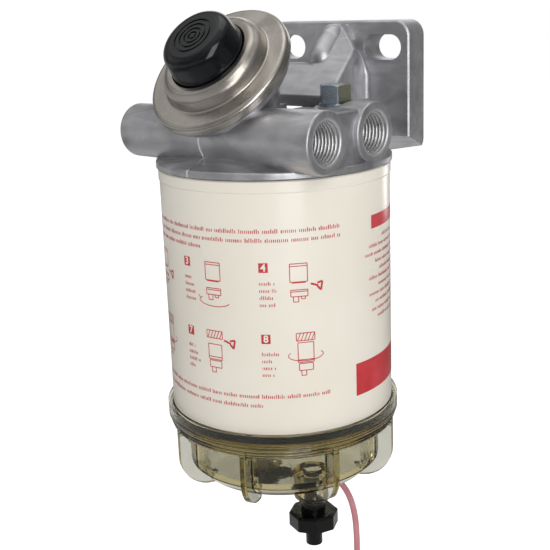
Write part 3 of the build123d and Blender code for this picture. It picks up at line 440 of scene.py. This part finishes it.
# Print on the can: one red ink, screened on round the outside: lines of thin dashes, and eight
# steps with plain drawings of a can and its bowl. It is laid out in millimetres: across from the
# can's front, and up from the model's origin.
can_radius = 54.4
can_top = -49.3
ink_lift = 0.06
figure_lift = 0.1
strip = 1.9
thin = 0.38
thick = 0.9
per_degree = radians(1) * can_radius
step_angles = (-92.0, -50.4, -8.6, 32.9)
step_tops = (-36.2, -68.7)
ink_faces = []
ink_points = []


def wrap(across, up, lift=ink_lift):
    """A point in metres, laid round the can."""
    angle = across / can_radius - pi / 2
    out = (can_radius + lift) / 1000
    return (can_axis.x + out * cos(angle), can_axis.y + out * sin(angle), up / 1000)


def ribbon(edge_points):
    """Faces between pairs of points, one pair after the other."""
    start = len(ink_points)
    ink_points.extend(edge_points)
    for a in range(start, len(ink_points) - 2, 2):
        ink_faces.append((a, a + 2, a + 3, a + 1))


def blot(left, right, low, high):
    """A filled rectangle, cut into strips under 2 mm wide so that it follows the can."""
    strips = int((right - left) / strip) + 1
    edge_points = []
    for i in range(strips + 1):
        across = left + (right - left) * i / strips
        edge_points += [wrap(across, low), wrap(across, high)]
    ribbon(edge_points)


def stroke(points, width=thin):
    """A drawn line of even width through (across, up) points."""
    for (x0, z0), (x1, z1) in zip(points, points[1:]):
        length = max(((x1 - x0) ** 2 + (z1 - z0) ** 2) ** 0.5, 1e-6)
        side_x = -(z1 - z0) / length * width / 2
        side_z = (x1 - x0) / length * width / 2
        pieces = int(length / strip) + 1
        edge_points = []
        for i in range(pieces + 1):
            x = x0 + (x1 - x0) * i / pieces
            z = z0 + (z1 - z0) * i / pieces
            edge_points += [wrap(x - side_x, z - side_z), wrap(x + side_x, z + side_z)]
        ribbon(edge_points)


def outline(left, right, low, high):
    """A rectangle drawn as a thin line."""
    stroke([(left, low), (right, low), (right, high), (left, high), (left, low)])


def arc(middle_x, middle_z, wide, tall, start, end, steps=18):
    """Part of an ellipse drawn as a thin line, from one angle to another in degrees."""
    angles = [radians(start + (end - start) * i / steps) for i in range(steps + 1)]
    stroke([(middle_x + wide * cos(angle), middle_z + tall * sin(angle)) for angle in angles])


def dashes(left, right, middle_z, height, rng):
    """A line of thin upright dashes in groups."""
    across = left
    pitch = height * 0.46
    while across < right - pitch:
        for _ in range(rng.randint(4, 14)):
            if across > right - pitch:
                break
            tall = height * rng.choice((0.7, 0.7, 0.7, 1.0))
            low = middle_z - height / 2
            blot(across, across + pitch * rng.uniform(0.36, 0.56), low, low + tall)
            across += pitch
        across += pitch * 1.1


def apart_drawing(x, z, turning):
    """The can over its bowl, taken apart, with a turning arrow or a pointer beside them."""
    outline(x, x + 7.8, z - 9.0, z - 0.8)
    stroke([(x, z - 1.9), (x + 7.8, z - 1.9)])
    blot(x + 0.8, x + 7.0, z - 9.6, z - 9.0)
    outline(x + 0.2, x + 7.8, z - 15.6, z - 12.6)
    stroke([(x + 0.2, z - 13.4), (x + 7.8, z - 13.4)])
    outline(x + 1.3, x + 3.6, z - 18.0, z - 15.6)
    outline(x + 4.9, x + 6.6, z - 16.8, z - 15.6)
    if turning:
        arc(x + 4.0, z - 18.6, 8.0, 2.4, 165, 345)
        stroke([(x - 4.6, z - 16.6), (x - 3.7, z - 17.9), (x - 2.4, z - 17.3)])
    else:
        stroke([(x + 9.2, z - 10.2), (x + 12.6, z - 11.4)], thick)
        stroke([(x + 12.2, z - 10.2), (x + 14.6, z - 9.6), (x + 13.9, z - 13.6), (x + 12.2, z - 11.6)],
               thick)


def joined_drawing(x, z, turning):
    """The can and its bowl together under the head, with a ring round them or a pointer beside them."""
    outline(x, x + 8.4, z - 3.5, z)
    for i in range(5):
        stroke([(x + 0.5 + 1.6 * i, z - 3.4), (x + 1.9 + 1.6 * i, z - 0.1)])
    outline(x + 0.6, x + 7.8, z - 13.6, z - (4.4 if turning else 6.4))
    stroke([(x + 0.6, z - 12.4), (x + 7.8, z - 12.4)])
    outline(x + 1.0, x + 7.4, z - 17.4, z - 14.2)
    outline(x + 2.0, x + 4.2, z - 19.8, z - 17.4)
    if turning:
        arc(x + 4.2, z - 10.4, 8.0, 2.6, 150, 390)
    else:
        stroke([(x + 9.2, z - 3.9), (x + 12.6, z - 5.2)], thick)
        stroke([(x + 12.2, z - 4.0), (x + 14.6, z - 3.4), (x + 13.9, z - 7.4), (x + 12.2, z - 5.4)],
               thick)


rng = random.Random(4)
for down, start, end in ((-22.2, -96, 71), (-26.2, -96, 71), (-30.1, -96, 2), (-98.0, -88, 64),
                         (-102.4, -88, 31)):
    dashes(start * per_degree, end * per_degree, down + can_top, 1.9, rng)
for column, angle in enumerate(step_angles):
    for row, down in enumerate(step_tops):
        left = angle * per_degree - 2.0
        z = down + can_top
        blot(left, left + 4.1, z - 4.3, z)
        for i in range(4):
            dashes(left, left + rng.uniform(5.0, 9.5), z - 9.2 - 3.25 * i, 1.7, rng)
        odd = column % 2 == 1
        if row == 0:
            apart_drawing(left + 13.5, z, turning=not odd)
        else:
            joined_drawing(left + (15.5 if odd else 12.5), z, turning=odd)
panel_middle = 112.0 * per_degree
blot(panel_middle - 20, panel_middle + 20, can_top - 27.3, can_top - 21.1)
for i, wide in enumerate((20, 44, 50, 34, 26, 44, 28, 44, 34, 40, 30)):
    dashes(panel_middle - wide / 2, panel_middle + wide / 2, can_top - 31.35 - 3.75 * i, 1.7, rng)
blot(78.4 * per_degree, 146.0 * per_degree, can_top - 103.8, can_top - 88.2)
ink_mesh = bpy.data.meshes.new("can_print")
ink_mesh.from_pydata(ink_points, [], ink_faces)
can_print = bpy.data.objects.new("can_print", ink_mesh)
scene.collection.objects.link(can_print)
ink = surface("red_ink", "BE343B", "CA4247", (0.16, 0.24), cloud=90.0, grit=2500.0, depth=0.00001)
ink_mesh.materials.append(ink.material)
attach(can_print, "can")

# Step numbers: plain figures one to eight in cream, laid on the red squares.
for column, angle in enumerate(step_angles):
    for row, down in enumerate(step_tops):
        figure = str(column + 1 + 4 * row)
        text = bpy.data.curves.new("step_" + figure, "FONT")
        text.body = figure
        text.size = 4.6
        text.align_x = "CENTER"
        text.align_y = "CENTER"
        text.offset = 0.12
        text.resolution_u = 3
        flat = bpy.data.objects.new("step_" + figure, text)
        scene.collection.objects.link(flat)
        mesh = plain_mesh(flat)
        bpy.data.objects.remove(flat)
        for point in mesh.vertices:
            across = angle * per_degree + 0.05 + point.co.x
            point.co = wrap(across, down + can_top - 2.15 + point.co.y, figure_lift)
        mesh.materials.append(enamel.material)
        made = bpy.data.objects.new("step_" + figure, mesh)
        scene.collection.objects.link(made)
        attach(made, "can")

# Filter element: pleated resin paper with a fine crepe, between tinned end caps.
paper = surface("resin_paper", "BDAC80", "D2C39A", (0.8, 0.95), cloud=110.0, grit=1600.0, depth=0.00012)
dress(paper, "filter_media")

# Threaded ring in the can's bottom, drain valve, probe and the lead's fittings: moulded black
# plastic with a fine satin texture.
black = surface("moulded_black_plastic", "040405", "0A0A0B", (0.18, 0.3), cloud=220.0, grit=2600.0,
                depth=0.00002, gleam=0.35)
dress(black, "bottom_ring", "drain_valve", "water_probe", "lead_tie", "lead_connector")

# Bowl seal: a square-cut rubber ring between the can and the bowl, with 480 fine upright ridges,
# each about 0.7 mm from the next.
ribbed = surface("ribbed_rubber", "040303", "0A0909", (0.16, 0.26), cloud=140.0, grit=2200.0, depth=0.00002,
                 gleam=0.25)
angle, height = turned_about(ribbed.tree, ribbed.place, can_axis)
comb = step(ribbed.tree, "SINE", step(ribbed.tree, "MULTIPLY", angle, 480.0))
feed(ribbed, "Normal", bump(ribbed.tree, comb, 0.0003, ribbed.relief))
dress(ribbed, "bowl_seal")

# Bowl: injection-moulded clear nylon with a warm tint that deepens with the thickness it shows and a slight
# ripple from the mould. Its clear colour is greyed, a painted shade for the dim surroundings seen through
# it. Its coarse thread shows through the lip as level lines, a ripple that is also painted darker, a painted
# shade for the thread's dark lines.
thread_low = -0.1786
thread_high = -0.1706
thread_fade = 0.0006
bowl_pitch = 0.0018
# The pale grey-blue base colour dims all that shows through the bowl: a painted shade.
clear = surface("clear_plastic_with_painted_shade", "D3D6DC", "E1E4E9", (0.01, 0.04), grit=260.0, depth=0.00006)
clear.shader.inputs["Transmission Weight"].default_value = 1.0
clear.shader.inputs["IOR"].default_value = 1.53
tree = clear.tree
height = node(tree, "ShaderNodeSeparateXYZ", {0: clear.place}).outputs[2]
thread_lines_and_shade = step(tree, "SINE", step(tree, "MULTIPLY", height, tau / bowl_pitch))
band = step(tree, "MULTIPLY", spread(tree, height, thread_low, thread_low + thread_fade),
              spread(tree, height, thread_high - thread_fade, thread_high, 1.0, 0.0))
thread_lines_and_shade = step(tree, "MULTIPLY", thread_lines_and_shade, band)
feed(clear, "Normal", bump(tree, thread_lines_and_shade, 0.0002, clear.relief))
# Painted shade: the thread's lines are also darkened in the colour.
feed(clear, "Base Color", mix(tree, spread(tree, thread_lines_and_shade, 0.1, 0.7), clear.tone, paint("6E6647")))
depth_tint = node(tree, "ShaderNodeVolumeAbsorption", {"Color": paint("E3D36C"), "Density": 120.0})
tree.links.new(depth_tint.outputs[0], tree.nodes["Material Output"].inputs["Volume"])
dress(clear, "bowl")

# Probe lead: a single insulated wire of about 3.3 mm, soft pink vinyl, straight out of the probe's
# gland, over its own weight and down. What hangs below is folded into a hank with its tie. Both
# routes are in millimetres: out from the gland, up, and aside.
lead_bore = 0.0033
lead_start = Vector((-0.009975, -0.046001, -0.2213))
lead_turn = radians(40.0)
lead_route = [
    (0.0, 0.0, 0.0), (9.3, 0.0, 0.0), (18.3, -0.2, 0.4), (25.8, -5.4, 0.9), (30.8, -13.8, 0.7),
    (33.4, -24.0, -0.2), (34.2, -35.5, -0.9), (34.3, -48.0, -0.4), (34.3, -57.0, -0.4)]
hank_route = [
    (0.0, -5.0, 1.7), (-0.3, -12.0, 1.7), (-1.5, -19.0, 1.7), (-1.8, -25.0, 1.6), (-2.6, -29.5, 1.6),
    (-6.2, -33.0, 1.7), (-9.9, -37.5, 1.7), (-9.6, -43.5, 1.7), (-5.6, -48.3, 1.7), (0.0, -49.5, 1.7),
    (5.6, -48.3, 1.7), (9.6, -43.5, 1.7), (9.9, -37.5, 1.7), (6.2, -33.0, 1.6), (2.6, -29.5, 1.5),
    (1.8, -25.0, 1.5), (2.6, -20.5, 1.0), (6.2, -17.0, 0.0), (9.9, -12.5, -1.2), (9.6, -6.5, -1.7),
    (5.6, -1.7, -1.7), (0.0, -0.5, -1.7), (-5.6, -1.7, -1.7), (-9.6, -6.5, -1.7), (-9.9, -12.5, -1.7),
    (-6.2, -17.0, -1.7), (-2.2, -20.5, -1.8), (0.0, -25.0, -1.8), (0.0, -33.0, -1.7), (0.0, -41.0, -1.7),
    (0.0, -47.0, -1.6), (0.0, -50.0, -0.9)]
hank_out, hank_up, hank_aside = lead_route[-1]
points = lead_route + [(hank_out + out, hank_up + up, hank_aside + aside) for out, up, aside in hank_route]
curve = bpy.data.curves.new("probe_lead", "CURVE")
curve.dimensions = "3D"
curve.bevel_depth = lead_bore / 2
curve.bevel_resolution = 6
curve.resolution_u = 16
curve.use_fill_caps = True
spline = curve.splines.new("NURBS")
spline.points.add(len(points) - 1)
for at, (out, up, aside) in zip(spline.points, points):
    at.co = (lead_start.x + (out * cos(lead_turn) - aside * sin(lead_turn)) / 1000,
             lead_start.y + (out * sin(lead_turn) + aside * cos(lead_turn)) / 1000,
             lead_start.z + up / 1000, 1.0)
spline.order_u = 3
spline.use_endpoint_u = True
lead = bpy.data.objects.new("probe_lead", curve)
scene.collection.objects.link(lead)
vinyl = surface("pink_vinyl", "BC7A80", "CE8B8F", (0.36, 0.5), cloud=90.0, grit=1800.0, depth=0.00002)
curve.materials.append(vinyl.material)
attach(lead, "bowl")
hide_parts("lead", "lead_hank")
